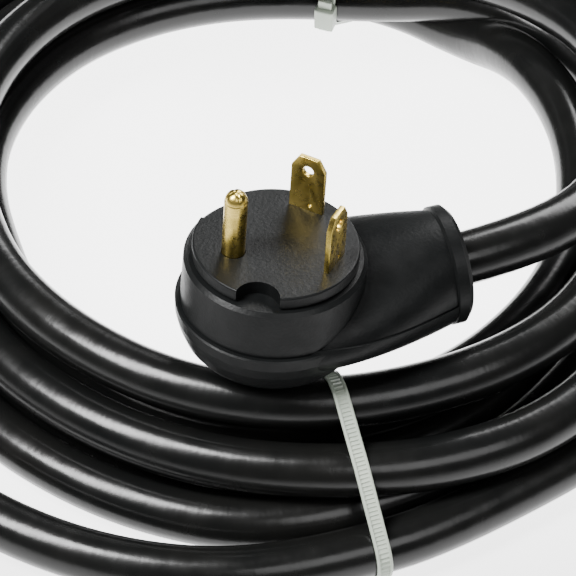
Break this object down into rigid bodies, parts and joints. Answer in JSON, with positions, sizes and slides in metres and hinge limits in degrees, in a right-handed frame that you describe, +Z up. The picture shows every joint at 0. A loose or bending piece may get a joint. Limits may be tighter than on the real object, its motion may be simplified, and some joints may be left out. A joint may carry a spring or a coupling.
{
  "type": "shore power cord",
  "caption": "Thick round power cord in a loose tied coil, with a right-angle moulded plug at one end and a round connector with a threaded locking ring at the other.",
  "frame": {"origin": "on the surface the coil lies on, under the middle of the plug, connector and ties, which is the coil's middle", "axes": "+Z up out of the coil; -Y towards the plug; +Y towards the connector; the plug's cord leaves towards +X"},
  "size_m": [0.3086, 0.286, 0.1114],
  "materials": {
    "black_pvc": "matte moulded PVC with a faint grain",
    "cord_jacket": "semi-gloss black jacket with faint ripples",
    "brass": "polished brass",
    "copper": "bare stranded copper",
    "green_insulation": "satin",
    "white_insulation": "satin",
    "black_insulation": "satin",
    "grey_nylon": "matte",
    "ring_nylon": "satin moulded nylon",
    "soft_rubber": "matte soft rubber",
    "spring_steel": "satin",
    "natural_nylon": "translucent whitish green nylon"
  },
  "bodies": {
    "cord_and_housings": {"plug_overmould": "black_pvc", "plug_pin_carrier": "black_pvc", "ground_pin": "brass", "neutral_blade": "brass", "line_blade": "brass", "plug_ground_wire": "copper", "plug_neutral_wire": "copper", "plug_line_wire": "copper", "plug_ground_insulation": "green_insulation", "plug_neutral_insulation": "white_insulation", "plug_line_insulation": "black_insulation", "cord_coil": "cord_jacket", "cord_lead_plug": "cord_jacket", "cord_lead_connector": "cord_jacket", "connector_shell": "black_pvc", "connector_face_block": "grey_nylon", "connector_strain_relief": "soft_rubber", "connector_ground_contact": "brass", "connector_neutral_contact": "brass", "connector_line_contact": "brass", "connector_ground_wire": "copper", "connector_neutral_wire": "copper", "connector_line_wire": "copper", "connector_ground_insulation": "green_insulation", "connector_neutral_insulation": "white_insulation", "connector_line_insulation": "black_insulation", "ring_retaining_clip": "spring_steel", "sealing_gasket": "soft_rubber", "cable_tie_front": "natural_nylon", "cable_tie_back": "natural_nylon"},
    "locking_ring": {"locking_ring": "ring_nylon"}
  },
  "joints": [
    {"name": "ring_spin", "type": "hinge", "parent": "cord_and_housings", "child": "locking_ring", "pos_m": [-0.05085, 0.092, 0.0775], "axis": [-0.9954, 0, 0.0958], "continuous": true}
  ]
}
